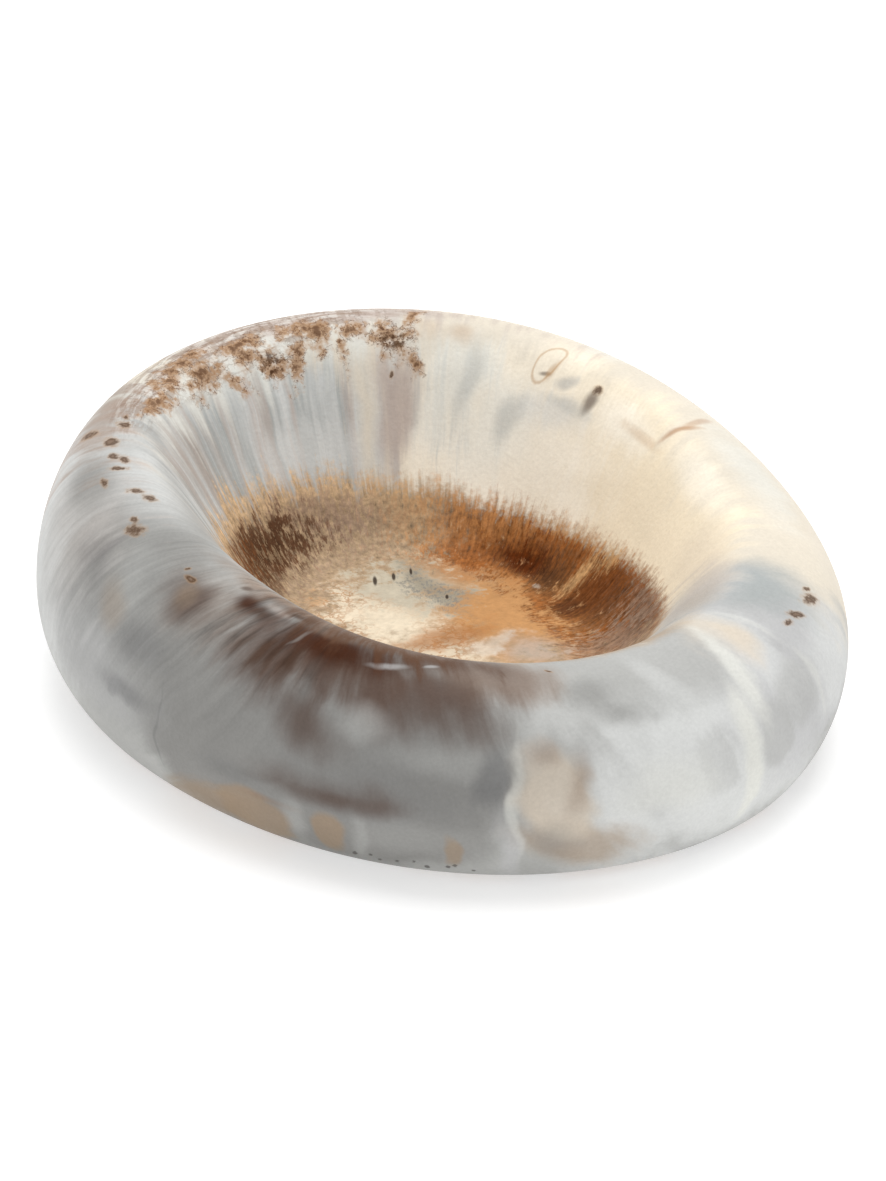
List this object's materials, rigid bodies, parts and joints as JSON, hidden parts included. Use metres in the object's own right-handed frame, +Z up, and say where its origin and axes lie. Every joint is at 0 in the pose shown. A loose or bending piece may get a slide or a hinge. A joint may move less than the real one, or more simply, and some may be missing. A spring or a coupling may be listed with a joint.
{
  "type": "decorative dish",
  "caption": "Low oval catch-all dish cast in marbled satin resin, with a thick rolled rim that rises to one end, a deep well for small things, and clear bumpers under its flat ground base.",
  "frame": {"origin": "on the table, under the middle of the dish's outline", "axes": "+Z up out of the well, +Y along the dish's length towards the tall end of its rim, +X to the right when looking along +Y"},
  "size_m": [0.1442, 0.17, 0.0491],
  "materials": {
    "marbled_resin": "satin cast resin, marbled in ivory, blue-grey, mauve, tan and umber",
    "clear_polyurethane": "clear, soft, smooth"
  },
  "bodies": {
    "root": {"dish_casting": "marbled_resin", "bumper_front_left": "clear_polyurethane", "bumper_front_right": "clear_polyurethane", "bumper_rear_left": "clear_polyurethane", "bumper_rear_right": "clear_polyurethane"}
  },
  "joints": []
}
